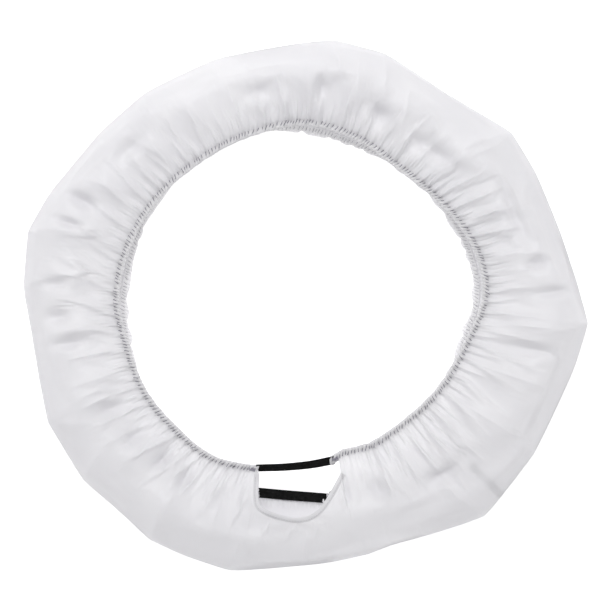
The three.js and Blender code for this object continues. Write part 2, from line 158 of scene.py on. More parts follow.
SEAM_SPREAD = 5  # columns to each side of the joining seam's middle
SEAM_NEAR = 0.8 * MM  # from the film to the tape inside it
SEAM_FAR = 1.4 * MM

FILM_DULL = (0.77, 0.765, 0.785)
FILM_CLEAR = (0.82, 0.815, 0.83)
FILM_TRANSLUCENCY = 0.38
PAINTED_FLOOR_GLOW = 0.24  # painted glow on the back hem, standing in for light from the white floor it lies on
FLOOR_GLOW = 0.42  # keeps the floor white round the object
# The front hem's dark thread is partly its own colour and partly painted shade of the gather valleys its
# stitches lie in.
THREAD_AND_SHADE_DARK = (0.17, 0.16, 0.2)
THREAD_AND_SHADE_LIGHT = (0.3, 0.29, 0.34)
PALE_THREAD_DARK = (0.5, 0.49, 0.52)
PALE_THREAD_LIGHT = (0.62, 0.61, 0.64)
BAND_DARK = (0.004, 0.004, 0.004)
BAND_LIGHT = (0.012, 0.012, 0.012)
ELASTIC_DARK = (0.62, 0.6, 0.57)
ELASTIC_LIGHT = (0.7, 0.69, 0.66)
WEAVE = 900
WHITE = (1, 1, 1, 1)

FRAME_WIDTH = 0.734  # width seen by the camera at the height it is set for
FRAME_HEIGHT = 0.006
FRAME_MIDDLE = (-0.0073, 0.0061)
LENS = 180
SENSOR = 36
SKY_STRENGTH = 0.7
FLOOR_SIZE = 12
FLOOR_GAP = 0.5 * MM
# Soft square lights, all turned to the middle: [name, place, size, energy].
LAMPS = (
    ("window", (-0.2, 1.5, 2.3), 1.3, 39),
    ("left_fill", (-2.4, -0.4, 2.2), 2.4, 6.5),
    ("right_fill", (2.4, -0.6, 2.2), 2.4, 6.5),
)


# ---- reading the frame ----
def cad_points(*nodes):
    found = []
    for node in nodes:
        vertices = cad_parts[node].data.vertices
        flat = np.empty(len(vertices) * 3)
        vertices.foreach_get("co", flat)
        found.append(flat.reshape(-1, 3))
    return np.concatenate(found)


def edge_line(points, pick):
    """Radius against angle of the innermost (np.min) or outermost (np.max) line of some points."""
    angle = np.arctan2(points[:, 1], points[:, 0]) % TAU
    radius = np.hypot(points[:, 0], points[:, 1])
    same_angle = 0.004
    keys = np.round(angle / same_angle).astype(int)
    found = np.unique(keys)
    line = np.array([pick(radius[keys == key]) for key in found])
    middle = np.array([angle[keys == key].mean() for key in found])
    return lambda a: np.interp(a % TAU, middle, line, period=TAU)


def middle_height(node):
    low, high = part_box(node)
    return (low.z + high.z) / 2


WALL_PLACES = ("right", "top_right", "top", "top_left", "left", "bottom_left", "bottom", "bottom_right")
UPPER_WALL = [f"film_upper_wall_{place}" for place in WALL_PLACES]
LOWER_WALL = [f"film_lower_wall_{place}" for place in WALL_PLACES]
fold_edge = edge_line(cad_points(*UPPER_WALL), np.max)
front_edge = edge_line(cad_points("front_hem_casing"), np.min)
back_edge = edge_line(cad_points("back_hem_casing"), np.min)

FOLD_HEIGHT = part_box(UPPER_WALL[0])[0].z
CROWN_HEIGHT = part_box("film_front_face")[1].z - SHEET
HEM_HEIGHT = middle_height("front_hem_casing")
FILM_START = HEM_HEIGHT + FILM_OVER_HEM
BACK_HEM_HEIGHT = middle_height("back_hem_casing")


# ---- small helpers ----
def smoothstep(low, high, x):
    t = np.clip((x - low) / (high - low), 0, 1)
    return t * t * (3 - 2 * t)


def ring_noise(angle, swells, seed):
    """Smooth random values from -1 to 1, with `swells` knots round the ring."""
    knots = np.random.default_rng(seed).uniform(-1, 1, swells)
    place = (angle % TAU) / TAU * swells
    left = np.floor(place).astype(int)
    t = place - left
    ease = t * t * (3 - 2 * t)
    return knots[left % swells] * (1 - ease) + knots[(left + 1) % swells] * ease


def polar(angle, radius, height):
    """Points from matching arrays of angle, radius and height."""
    return np.stack([radius * np.cos(angle), radius * np.sin(angle), height], axis=-1)


def add_mesh(name, points, faces):
    mesh = bpy.data.meshes.new(name)
    mesh.from_pydata(np.asarray(points).tolist(), [], [list(map(int, face)) for face in faces])
    mesh.polygons.foreach_set("use_smooth", np.ones(len(mesh.polygons), bool))
    mesh.update()
    obj = bpy.data.objects.new(name, mesh)
    bpy.context.collection.objects.link(obj)
    return obj


def grid_faces(columns, rows, closed):
    """Quads over columns by rows of points, joined round the ring if closed."""
    index = np.arange(columns * rows).reshape(columns, rows)
    ahead = np.roll(index, -1, axis=0)
    quads = np.stack([index[:, :-1], index[:, 1:], ahead[:, 1:], ahead[:, :-1]], axis=-1)
    return (quads if closed else quads[:-1]).reshape(-1, 4)


# ---- the notch ----
def notch_outline():
    """The notch's edge in plan, from the left hem end round its foot to the right hem end."""
    left_low, left_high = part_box("front_notch_hem_left")
    right_low, right_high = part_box("front_notch_hem_right")
    foot_low, foot_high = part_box("front_notch_hem_foot")
    x0, x1 = left_high.x, right_low.x
    top, lowest = left_low.y, foot_low.y + NOTCH_HEM
    points = [(x0, left_high.y)]
    points += [(x0 + (x1 - x0) * u, top + (lowest - top) * v) for u, v in NOTCH_FOOT]
    points.append((right_high.x, right_high.y))
    return np.array(points)


NOTCH = notch_outline()
NOTCH_ANGLES = np.arctan2(NOTCH[:, 1], NOTCH[:, 0])


def rounded_line(points, count):
    """A smooth curve through points, at even steps of its length."""
    extended = np.concatenate([[2 * points[0] - points[1]], points, [2 * points[-1] - points[-2]]])
    parts = []
    for i in range(len(points) - 1):
        a, b, c, d = extended[i : i + 4]
        t = np.linspace(0, 1, 24, endpoint=False)[:, None]
        parts.append(
            b + t * (c - a) / 2 + t**2 * (2 * a - 5 * b + 4 * c - d) / 2
            + t**3 * (3 * b - 3 * c + d - a) / 2
        )
    line = np.concatenate([*parts, points[-1:]])
    length = np.concatenate([[0], np.cumsum(np.linalg.norm(np.diff(line, axis=0), axis=1))])
    even = np.linspace(0, length[-1], count)
    return np.stack([np.interp(even, length, line[:, k]) for k in range(line.shape[1])], axis=1)


NOTCH_LINE = rounded_line(NOTCH, 200)


def notch_radius(angle):
    """Radius of the notch's edge where it is cut, and 0 elsewhere."""
    a = (np.asarray(angle) + math.pi) % TAU - math.pi
    line_angle = np.arctan2(NOTCH_LINE[:, 1], NOTCH_LINE[:, 0])
    line_radius = np.hypot(NOTCH_LINE[:, 0], NOTCH_LINE[:, 1])
    order = np.argsort(line_angle)
    inside = (a > line_angle.min()) & (a < line_angle.max())
    return np.where(inside, np.interp(a, line_angle[order], line_radius[order]), 0)


# ---- the film's section ----
def front_height(share):
    rise = FILM_START + (CROWN_HEIGHT - FILM_START) * np.sin(
        np.clip(share / CROWN_SHARE, 0, 1) * math.pi / 2
    )
    beyond = np.clip((share - CROWN_SHARE) / (1 - CROWN_SHARE), 0, 1)
    fall = FOLD_HEIGHT + (CROWN_HEIGHT - FOLD_HEIGHT) * np.sqrt(1 - beyond * beyond)
    return np.where(share <= CROWN_SHARE, rise, fall)


def even_steps(count):
    """Shares of the front film's width, from 0 to 1, at even steps along its curve."""
    usual_width = fold_edge(np.pi / 2) - front_edge(np.pi / 2) - HEM_WIDTH
    share = np.linspace(0, 1, 2000)
    step = np.hypot(np.diff(share) * usual_width, np.diff(front_height(share)))
    length = np.concatenate([[0], np.cumsum(step)])
    return np.interp(np.linspace(0, length[-1], count), length, share)


def front_radius(angle, share):
    inner = front_edge(angle) + HEM_WIDTH
    return inner + (fold_edge(angle) - SHEET - inner) * share


def sleeve_grid(angle):
    """Plain places of the whole film, from the front hem over the fold to the back hem."""
    inner = front_radius(angle, 0)
    outer = front_radius(angle, 1)
    start = np.clip((notch_radius(angle) - inner) / (outer - inner), 0, 1)
    rows = []
    for step in even_steps(FRONT_ROWS):
        share = start + (1 - start) * step
        rows.append(polar(angle, front_radius(angle, share), front_height(share)))
    for step in range(1, FOOT_ROWS + 1):
        bend = (1 - step / FOOT_ROWS) * math.pi / 2
        share = FOOT_SHARE + (1 - FOOT_SHARE) * math.sin(bend)
        height = FOLD_HEIGHT - (FOLD_HEIGHT - SHEET) * math.cos(bend)
        rows.append(polar(angle, front_radius(angle, share), np.full_like(angle, height)))
    foot = front_radius(angle, FOOT_SHARE)
    back = back_edge(angle) + HEM_WIDTH
    for step in range(1, BACK_ROWS + 1):
        lift = (BACK_HEM_HEIGHT - FILM_UNDER_HEM - SHEET) * smoothstep(0.8, 1.0, step / BACK_ROWS)
        radius = foot + (back - foot) * step / BACK_ROWS
        rows.append(polar(angle, radius, np.full_like(angle, SHEET + lift)))
    return np.stack(rows, axis=1)


# ---- cloth simulation of the film ----
def perimeter(line):
    return np.linalg.norm(np.roll(line, -1, axis=0) - line, axis=1).sum()


def folds(angle, pitch, seed):
    """Uneven folds round the ring, about `pitch` apart at the hem, as height from -1 to 1."""
    mean_radius = 0.215
    count = int(TAU * mean_radius / pitch)
    sway = 0.4 * TAU * ring_noise(angle, count // 3, seed)
    depth = 0.7 + 0.3 * ring_noise(angle, count // 2, seed + 5)
    valley = np.abs(np.sin((count * angle + sway) / 2))
    return depth * (1.2 - 2 * valley**0.9)


def near_notch(angle):
    """1 across the notch, fading to 0 just outside its two ends."""
    a = (angle + math.pi) % TAU - math.pi
    outside = np.maximum(a - NOTCH_ANGLES.max(), NOTCH_ANGLES.min() - a)
    return 1 - smoothstep(0, 0.12, outside)


def outline_corners():
    """Angles where the outer fold bends most."""
    angle = np.linspace(0, TAU, 720, endpoint=False)
    radius = fold_edge(angle)
    bend = 2 * radius - np.roll(radius, 6) - np.roll(radius, -6)
    highest = bend >= np.max([np.roll(bend, k) for k in range(-8, 9)], axis=0)
    return angle[highest & (bend > CORNER_BEND)]


CORNERS = outline_corners()


def corner_creases(angle, share):
    """Height of the sharp ridges that run in from the outline's corners."""
    total = np.zeros_like(angle)
    for i, corner in enumerate(CORNERS):
        way = -1 if i % 3 else 1.6
        middle = corner + way * CREASE_LEAN * (1 - share)
        turned = np.abs((angle - middle + math.pi) % TAU - math.pi)
        strength = smoothstep(0.3, 0.8, share) * (1 - smoothstep(0.9, 1.0, share))
        total += CREASE_HEIGHT * strength * np.exp(-turned * front_radius(angle, share) / CREASE_WIDTH)
    return total


def fold_height(angle, share):
    """Height of the seeded folds over the plain front film."""
    total = np.zeros_like(angle)
    for i, (pitch, height, start, peak, end) in enumerate(FRONT_FOLDS):
        strength = smoothstep(start, peak, share) * (1 - smoothstep(peak, end, share))
        leaning = angle + FOLD_LEAN * share * ring_noise(angle, 11, 61 + i)
        total += height * strength * folds(leaning, pitch, 11 + 20 * i)
    total *= 1 - near_notch(angle) * (1 - smoothstep(0, 0.35, share))
    total += corner_creases(angle, share)
    radius = front_radius(angle, share)
    for degrees, middle, depth, length, width in POCKETS:
        turned = (angle - math.radians(degrees) + math.pi) % TAU - math.pi
        beside = turned * radius / (width * MM)
        outward = (radius - front_radius(angle, middle)) / (length * MM)
        total -= POCKET_STRENGTH * depth * MM * np.exp(-(beside**2) - outward**2)
    return total


def cloth_rest(grid):
    """The film as it was cut: a plain loop of strip, as a slightly tapered tube."""
    step = np.linalg.norm(np.diff(grid, axis=1), axis=2).mean(axis=0)
    length = perimeter(grid[:, FRONT_ROWS - 1]) * STRIP_SLACK
    row = np.arange(ROWS)
    near_front = 1 - smoothstep(0, FRONT_ROWS * 0.55, row)
    near_back = smoothstep(ROWS - BACK_ROWS, ROWS - 1, row)
    radius = length / TAU * (1 - (1 - HEM_SLACK) * np.maximum(near_front, near_back))
    rise = np.sqrt(np.maximum(step**2 - np.diff(radius) ** 2, 1e-10))
    height = np.concatenate([[0], np.cumsum(rise)])
    turn = np.linspace(0, TAU, len(grid), endpoint=False)[:, None]
    return polar(turn, radius[None, :] + 0 * turn, height[None, :] + 0 * turn)


def cloth_pins():
    """How firmly each row is held: 1 at the hems, softly at the fold and on the floor."""
    row = np.arange(ROWS)
    hold = np.full(ROWS, 0.004)
    hold[np.abs(row - (FRONT_ROWS - 1)) <= 1] = 0.25
    hold[row >= FRONT_ROWS + FOOT_ROWS] = 0.05
    hold[[0, 1, ROWS - 2, ROWS - 1]] = 1
    return hold


def simulated(grid):
    """The film's places after its slack has buckled into folds."""
    obj = add_mesh("film_cloth", grid.reshape(-1, 3), grid_faces(len(grid), ROWS, True))
    obj.shape_key_add(name="placed")
    rest = obj.shape_key_add(name="rest")
    rest.data.foreach_set("co", cloth_rest(grid).reshape(-1))
    rest.value = 0
    group = obj.vertex_groups.new(name="held")
    for row, weight in enumerate(cloth_pins()):
        group.add([int(i) for i in range(row, len(grid) * ROWS, ROWS)], float(weight), "REPLACE")
    modifier = obj.modifiers.new("cloth", "CLOTH")
    cloth = modifier.settings
    cloth.rest_shape_key = rest
    cloth.vertex_group_mass = group.name
    cloth.pin_stiffness = 1
    cloth.quality = 6
    cloth.mass = 0.12
    cloth.air_damping = 2
    cloth.tension_stiffness = 30
    cloth.compression_stiffness = 30
    cloth.shear_stiffness = 12
    cloth.bending_model = "ANGULAR"
    cloth.bending_stiffness = 0.05
    cloth.tension_damping = 5
    cloth.compression_damping = 5
    cloth.shear_damping = 5
    cloth.bending_damping = 0.2
    cloth.effector_weights.gravity = 0.06
    modifier.collision_settings.use_collision = False
    modifier.collision_settings.use_self_collision = False
    modifier.point_cache.frame_end = SIM_FRAMES
    scene = bpy.context.scene
    for moment in range(1, SIM_FRAMES + 1):
        scene.frame_set(moment)
    shaped = obj.evaluated_get(bpy.context.evaluated_depsgraph_get()).to_mesh()
    flat = np.empty(len(shaped.vertices) * 3)
    shaped.vertices.foreach_get("co", flat)
    bpy.data.objects.remove(obj)
    scene.frame_set(1)
    return flat.reshape(grid.shape)


def film_places(angle):
    """The film before it is simulated: the plain section with folds seeded near its hems."""
    grid = sleeve_grid(angle)
    in_notch = smoothstep(0, 8 * MM, notch_radius(angle) - front_radius(angle, 0))
    for row, share in enumerate(even_steps(FRONT_ROWS)):
        grid[:, row, 2] += fold_height(angle, share) * (1 - in_notch * (1 - share))
    for row in (ROWS - 1, ROWS - 2):
        grid[:, row, 2] += 0.5 * MM * (1 + folds(angle, BACK_FOLD_PITCH, 71))
    return grid


def limited(shaped, placed, most):
    """Simulated places pulled back to at most `most` from where they started."""
    move = shaped - placed
    far = np.linalg.norm(move, axis=2, keepdims=True)
    return placed + move * most * np.tanh(far / most) / np.maximum(far, 1e-9)


def finer_columns(grid, times):
    """A closed grid with `times` columns for each one, on smooth curves through the old ones."""
    before, after, beyond = (np.roll(grid, k, axis=0) for k in (1, -1, -2))
    parts = []
    for k in range(times):
        t = k / times
        parts.append(
            grid + t * (after - before) / 2
            + t**2 * (2 * before - 5 * grid + 4 * after - beyond) / 2
            + t**3 * (3 * grid - 3 * after + beyond - before) / 2
        )
    return np.stack(parts, axis=1).reshape(-1, *grid.shape[1:])


def grid_normals(grid):
    """Unit normals of a closed grid, pointing out of the sleeve."""
    along = np.roll(grid, -1, axis=0) - np.roll(grid, 1, axis=0)
    across = np.gradient(grid, axis=1)
    normal = np.cross(across, along)
    return normal / np.maximum(np.linalg.norm(normal, axis=2, keepdims=True), 1e-12)


# ---- the hems' fine gathers ----
def path_share(angle, edge):
    """Length along a hem from angle 0, and the hem's whole length."""
    fine = np.linspace(0, TAU, 4001)
    line = polar(fine, edge(fine), 0 * fine)
    length = np.concatenate([[0], np.cumsum(np.linalg.norm(np.diff(line, axis=0), axis=1))])
    return np.interp(angle % TAU, fine, length), length[-1]


def gather_phase(angle, edge, seed):
    """Turns of the hem's gathers, unevenly spaced, at an angle."""
    along, whole = path_share(angle, edge)
    count = round(whole / GATHER_PITCH)
    uneven = 0.42 * ring_noise(angle, count // 2, seed) + 0.8 * ring_noise(angle, count // 9, seed + 1)
    return count * along / whole + uneven


def gather(phase):
    """Height of a gather from -1 in its narrow valley to 1 on its round ridge."""
    return 1 - 2 * np.abs(np.cos(math.pi * phase)) ** 5


def with_gathers(grid, angle):
    """Fine gathers laid over the film, fading away from both hems."""
    normal = grid_normals(grid)
    front_phase = gather_phase(angle, front_edge, FRONT_SEED)
    back_phase = gather_phase(angle, back_edge, BACK_SEED)
    open_hem = notch_radius(angle) == 0
    step = np.linalg.norm(np.diff(grid, axis=1, prepend=grid[:, :1]), axis=2)
    from_front = np.cumsum(step, axis=1)
    reach = GATHER_REACH * (1 + 0.5 * ring_noise(angle, 190, 401))
    for row in range(FRONT_ROWS):
        away = from_front[:, row]
        fade = np.exp(-((away / reach) ** 2)) * open_hem
        turned = front_phase + GATHER_SLANT * away / GATHER_PITCH * np.exp(-away / reach)
        grid[:, row] += (GATHER_HEIGHT * fade * gather(turned))[:, None] * normal[:, row]
    for rows_in in range(BACK_ROWS):
        row = ROWS - 1 - rows_in
        away = rows_in * BACK_ROW_WIDTH
        fade = math.exp(-((away / GATHER_REACH) ** 2))
        grid[:, row, 2] += 0.5 * GATHER_HEIGHT * fade * (1 + gather(back_phase))
    return grid


# ---- hems ----
def casing_section(steps):
    """Distance from the inner edge and side (1 over, -1 under) of points round a casing."""
    over = np.linspace(1, 0, steps)
    out = over**1.4
    around = np.concatenate([out, out[-2:0:-1]])
    side = np.concatenate([np.ones(steps), -np.ones(steps - 2)])
    return around * CASING_WIDTH, side


def casing_half_thickness(u):
    """Half the casing's thickness, apart from its ruffles: a round nose, pinched by the stitches."""
    along_nose = np.clip(u / NOSE_LENGTH, 0, 1)
    nose = np.sqrt(along_nose * (2 - along_nose))
    pinch = 1 - 0.3 * np.exp(-(((u - STITCH_ROW) / PINCH_WIDTH) ** 2))
    tail = 1 - 0.9 * smoothstep(STITCH_ROW, CASING_WIDTH, u)
    return CASING_HALF * nose * pinch * tail + 0.1 * MM


def hem_casing(name, angle, edge, height_at, seed, lobe_reach):
    """A ruffled tube of film along a hem, with slanting gathers crossed by a pinched line."""
    u, side = casing_section(9)
    slant = GATHER_SLANT * (HEM_WIDTH - u) / GATHER_PITCH
    ridge = gather(gather_phase(angle, edge, seed)[:, None] - slant)
    lobes = lobe_reach * (np.abs(ring_noise(angle, 85, seed + 3)) ** 0.8 - 0.6)[:, None]
    nose = (lobes + 0.15 * MM * ridge) * (1 - np.clip(u / (7 * MM), 0, 1))
    radius = edge(angle)[:, None] + u - nose
    height = height_at(angle, u) + side * casing_half_thickness(u) * (1 + 0.38 * ridge)
    points = polar(angle[:, None] + 0 * radius, radius, height)
    count = points.shape[1]
    index = np.arange(len(angle) * count).reshape(len(angle), count)
    ahead, around = index[1:], np.roll(index, -1, axis=1)
    quads = np.stack([index[:-1], ahead, np.roll(ahead, -1, axis=1), around[:-1]], axis=-1)
    faces = [*quads.reshape(-1, 4), index[0], index[-1][::-1]]
    return add_mesh(name, points.reshape(-1, 3), faces)


def hem_angles(node, count, tuck=0):
    """Even angles from a hem's right end, or a little after it, anticlockwise to its left end."""
    points = cad_points(node)
    angle = np.sort(np.arctan2(points[:, 1], points[:, 0]) % TAU)
    gaps = np.diff(angle, append=angle[0] + TAU)
    widest = int(np.argmax(gaps))
    start = angle[(widest + 1) % len(angle)]
    span = TAU - gaps[widest]
    return start + np.linspace(tuck, span, count)


def capsule(start, end, radius, sides):
    """Points and faces of a thread stitch between two points, with rounded ends."""
    start, end = Vector(start), Vector(end)
    along = (end - start).normalized()
    across = along.orthogonal().normalized()
    up = along.cross(across)
    tip = along * radius * 0.6
    rings = [(start - tip, 0.5), (start, 1), (end, 1), (end + tip, 0.5)]
    points = []
    for centre, share in rings:
        for k in range(sides):
            a = TAU * k / sides
            points.append(centre + (across * math.cos(a) + up * math.sin(a)) * radius * share)
    faces = []
    for ring in range(len(rings) - 1):
        for k in range(sides):
            a, b = ring * sides + k, ring * sides + (k + 1) % sides
            faces.append((a, b, b + sides, a + sides))
    faces.append(tuple(range(sides))[::-1])
    faces.append(tuple(range((len(rings) - 1) * sides, len(rings) * sides)))
    return points, faces


def threads(name, stitches, radius):
    """One piece holding a capsule for each (start, end) stitch."""
    points, faces = [], []
    for start, end in stitches:
        some_points, some_faces = capsule(start, end, radius, THREAD_SIDES)
        faces += [tuple(len(points) + i for i in face) for face in some_faces]
        points += some_points
    return add_mesh(name, np.array([tuple(p) for p in points]), faces)


def hem_stitches(name, node, edge, height_at, seed):
    """Dark stitches lying across the hem, one in each valley of its gathers: partly real stitching, partly
    painted shade of those valleys.
    """
    fine = hem_angles(node, 12000)[60:-60]
    slant = GATHER_SLANT * (HEM_WIDTH - STITCH_ROW) / GATHER_PITCH
    phase = gather_phase(fine, edge, seed) - slant
    crossings = np.nonzero(np.diff(np.floor(phase)))[0]
    rng = np.random.default_rng(seed + 9)
    stitches = []
    for i in crossings:
        angle = fine[i]
        half = rng.uniform(STITCH_SHORTEST, STITCH_LONGEST)
        lean = rng.uniform(0.1, 0.8)
        centre = edge(angle) + STITCH_ROW + rng.normal(0, 0.25 * MM)
        ends = []
        for way in (-1, 1):
            r = centre + way * half
            turned = angle - way * half * lean / r
            top = height_at(np.array([angle]), np.array([STITCH_ROW]))[0] + STITCH_LIFT
            ends.append((r * math.cos(turned), r * math.sin(turned), float(np.ravel(top)[0])))
        stitches.append(ends)
    return threads(name, stitches, HEM_THREAD)


def elastic_strip(name, angle, edge, height_at):
    """The flat ribbed elastic hidden in a hem."""
    u = np.concatenate([ELASTIC_COLUMNS, ELASTIC_COLUMNS[::-1]])
    side = np.array([1, 1, 1, -1, -1, -1])
    thick = ELASTIC_HALF + ELASTIC_RIB * np.cos(TAU * np.arange(len(angle)) / 3)[:, None]
    radius = edge(angle)[:, None] + u
    height = height_at(angle, u) + side * thick
    points = polar(angle[:, None] + 0 * radius, radius, height)
    return tube_mesh(name, points)


def tube_mesh(name, points):
    """A closed tube through (stations, section) points, with flat ends."""
    stations, count = points.shape[:2]
    index = np.arange(stations * count).reshape(stations, count)
    around = np.roll(index, -1, axis=1)
    quads = np.stack([index[:-1], index[1:], around[1:], around[:-1]], axis=-1).reshape(-1, 4)
    return add_mesh(name, points.reshape(-1, 3), [*quads, index[0], index[-1][::-1]])


# ---- pieces that lie on the film ----
class Surface:
    """Heights of the film seen from above."""

    def __init__(self, obj):
        self.tree = BVHTree.FromObject(obj, bpy.context.evaluated_depsgraph_get())

    def height(self, x, y):
        hit = self.tree.ray_cast(Vector((x, y, 0.2)), Vector((0, 0, -1)))[0]
        return hit.z if hit is not None else SHEET


def side_steps(line, distance):
    """A plan line moved sideways, to its right as it runs."""
    along = np.gradient(line, axis=0)
    along /= np.linalg.norm(along, axis=1, keepdims=True)
    return line + distance * np.stack([along[:, 1], -along[:, 0]], axis=1)


def turned_edge(name, line, surface, width):
    """A hem folded over along a plan line: a thin doubled edge that follows the film under it."""
    offsets = np.array([-0.3, 0.6, 2.0, 3.6, 5.2, 6.0]) / 6.0 * width
    lift = np.array([0.05, 0.25, 0.25, 0.2, 0.2, 0.02]) * MM
    columns = []
    for offset, rise in zip(offsets, lift):
        moved = side_steps(line, offset)
        inside = side_steps(line, max(offset, 0.8 * MM))
        height = np.array([surface.height(x, y) for x, y in inside])
        columns.append((moved, height, rise))
    over = [np.column_stack([m, h + r]) for m, h, r in columns]
    under = [np.column_stack([m, h - 0.6 * r]) for m, h, r in reversed(columns)]
    return tube_mesh(name, np.stack(over + under, axis=1))


def running_stitches(name, line, surface):
    """Short stitches on a turned edge, in a row beside its plan line."""
    moved = side_steps(line, NOTCH_STITCH_ROW)
    length = np.concatenate([[0], np.cumsum(np.linalg.norm(np.diff(moved, axis=0), axis=1))])
    pitch = NOTCH_STITCH_PITCH
    stitches = []
    for start in np.arange(pitch, length[-1] - pitch, pitch):
        ends = []
        for place in (start, start + NOTCH_STITCH_LENGTH):
            x, y = (np.interp(place, length, moved[:, k]) for k in range(2))
            ends.append((float(x), float(y), surface.height(x, y) + NOTCH_STITCH_LIFT))
        stitches.append(ends)
    return threads(name, stitches, NOTCH_THREAD)


def bartack(name, node, height):
    """A dense zigzag of thread over a hem's end, in the place of its CAD node."""
    low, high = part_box(node)
    middle = (low + high) / 2
    outward = Vector((middle.x, middle.y, 0)).normalized()
    across = Vector((-outward.y, outward.x, 0))
    corners = []
    for k in range(TACK_TURNS + 1):
        way = -1 if k % 2 else 1
        along = (k / TACK_TURNS - 0.5) * TACK_LENGTH
        place = middle + across * along + outward * way * TACK_WIDTH / 2
        corners.append((place.x, place.y, height))
    return threads(name, list(zip(corners, corners[1:])), TACK_THREAD)


# ---- bands ----
def band(name, stations, width, thickness, ribs):
    """A flat woven elastic along stations of (middle, across, up) vectors, ribbed, with thick edges."""
    rows = []
    half = np.linspace(-1, 1, ribs * 2 + 1)
    rib = np.where(np.arange(len(half)) % 2 == 0, 1.0, 0.55)
    rib[[0, -1]] = 0.8
    edge_cord = 1 + 0.5 * np.exp(-((1 - np.abs(half)) / 0.09) ** 2)
    lift = thickness / 2 * rib * edge_cord
    for middle, across, up in stations:
        sideways = [middle + across * h * width / 2 for h in half]
        over = [place + up * rise for place, rise in zip(sideways, lift)]
        under = [place - up * rise for place, rise in zip(sideways, lift)]
        rows.append(over + under[::-1])
    return tube_mesh(name, np.array(rows))


def band_stations(path, tilts, count):
    """Even stations on a smooth path; a tilt in degrees turns the band about its length."""
    line = rounded_line(np.array(path), count)
    tilt = np.radians(np.interp(np.linspace(0, 1, count), np.linspace(0, 1, len(tilts)), tilts))
    along = np.gradient(line, axis=0)
    along /= np.linalg.norm(along, axis=1, keepdims=True)
    flat = np.cross([0, 0, 1], along)
    flat /= np.linalg.norm(flat, axis=1, keepdims=True)
    up = np.cross(along, flat)
    across = flat * np.cos(tilt)[:, None] + up * np.sin(tilt)[:, None]
    normal = np.cross(along, across)
    return list(zip(line, across, normal))


# ---- materials ----
class Nodes:
    """A short way to write a material's nodes."""

    def __init__(self, name):
        self.material = bpy.data.materials.new(name)
        self.material.use_nodes = True
        self.tree = self.material.node_tree
        self.shader = self.tree.nodes["Principled BSDF"]
        self.output = self.tree.nodes["Material Output"]

    def add(self, kind, **settings):
        node = self.tree.nodes.new(kind)
        for key, value in settings.items():
            setattr(node, key, value)
        return node

    def link(self, source, target):
        self.tree.links.new(source, target)

    def noise(self, scale, detail):
        place = self.add("ShaderNodeTexCoord")
        node = self.add("ShaderNodeTexNoise")
        node.inputs["Scale"].default_value = scale
        node.inputs["Detail"].default_value = detail
        node.inputs["Roughness"].default_value = 0.55
        self.link(place.outputs["Object"], node.inputs["Vector"])
        return node.outputs["Fac"]

    def ramp(self, value, low, high):
        """A colour between two, by a value from about 0.3 to 0.7."""
        node = self.add("ShaderNodeValToRGB")
        node.color_ramp.elements[0].position = 0.3
        node.color_ramp.elements[1].position = 0.7
        node.color_ramp.elements[0].color = (*low, 1)
        node.color_ramp.elements[1].color = (*high, 1)
        self.link(value, node.inputs["Fac"])
        return node.outputs["Color"]

    def bump(self, value, strength, distance):
        node = self.add("ShaderNodeBump")
        node.inputs["Strength"].default_value = strength
        node.inputs["Distance"].default_value = distance
        self.link(value, node.inputs["Height"])
        return node.outputs["Normal"]


def film_material(name, painted_glow=0):
    """Milky plastic film: soft gloss, faint cloudiness, light coming through from behind, and an optional
    painted glow.
    """
    look = Nodes(name)
    look.shader.inputs["Emission Color"].default_value = WHITE
    # Painted glow: emission standing in for light the film would get from the floor under it.
    look.shader.inputs["Emission Strength"].default_value = painted_glow
    cloudy = look.noise(scale=9, detail=4)
    colour = look.ramp(cloudy, FILM_DULL, FILM_CLEAR)
    look.link(colour, look.shader.inputs["Base Color"])
    look.shader.inputs["Roughness"].default_value = 0.42
    look.shader.inputs["Specular IOR Level"].default_value = 0.35
    grain = look.noise(scale=420, detail=2)
    normal = look.bump(grain, strength=0.12, distance=0.4 * MM)
    look.link(normal, look.shader.inputs["Normal"])
    through = look.add("ShaderNodeBsdfTranslucent")
    look.link(colour, through.inputs["Color"])
    mix = look.add("ShaderNodeMixShader")
    mix.inputs[0].default_value = FILM_TRANSLUCENCY
    look.link(look.shader.outputs[0], mix.inputs[1])
    look.link(through.outputs[0], mix.inputs[2])
    look.link(mix.outputs[0], look.output.inputs["Surface"])
    return look.material


def woven_material(name, dark, light, weave):
    """Woven or braided elastic: fine crossing yarns over two tones."""
    look = Nodes(name)
    place = look.add("ShaderNodeTexCoord")
    across = look.add("ShaderNodeTexWave", bands_direction="X")
    along = look.add("ShaderNodeTexWave", bands_direction="Y")
    for wave in (across, along):
        wave.inputs["Scale"].default_value = weave
        wave.inputs["Distortion"].default_value = 1.2
        wave.inputs["Detail"].default_value = 1
        look.link(place.outputs["Object"], wave.inputs["Vector"])
    crossing = look.add("ShaderNodeMath", operation="MULTIPLY")
    look.link(across.outputs["Fac"], crossing.inputs[0])
    look.link(along.outputs["Fac"], crossing.inputs[1])
    colour = look.ramp(look.noise(scale=260, detail=3), dark, light)
    look.link(colour, look.shader.inputs["Base Color"])
    look.shader.inputs["Roughness"].default_value = 0.9
    look.shader.inputs["Specular IOR Level"].default_value = 0.12
    normal = look.bump(crossing.outputs[0], strength=0.6, distance=0.3 * MM)
    look.link(normal, look.shader.inputs["Normal"])
    return look.material


def thread_material(name, dark, light):
    """Twisted sewing thread."""
    look = Nodes(name)
    colour = look.ramp(look.noise(scale=900, detail=2), dark, light)
    look.link(colour, look.shader.inputs["Base Color"])
    look.shader.inputs["Roughness"].default_value = 0.7
    twist = look.noise(scale=1800, detail=1)
    normal = look.bump(twist, strength=0.4, distance=0.2 * MM)
    look.link(normal, look.shader.inputs["Normal"])
    return look.material


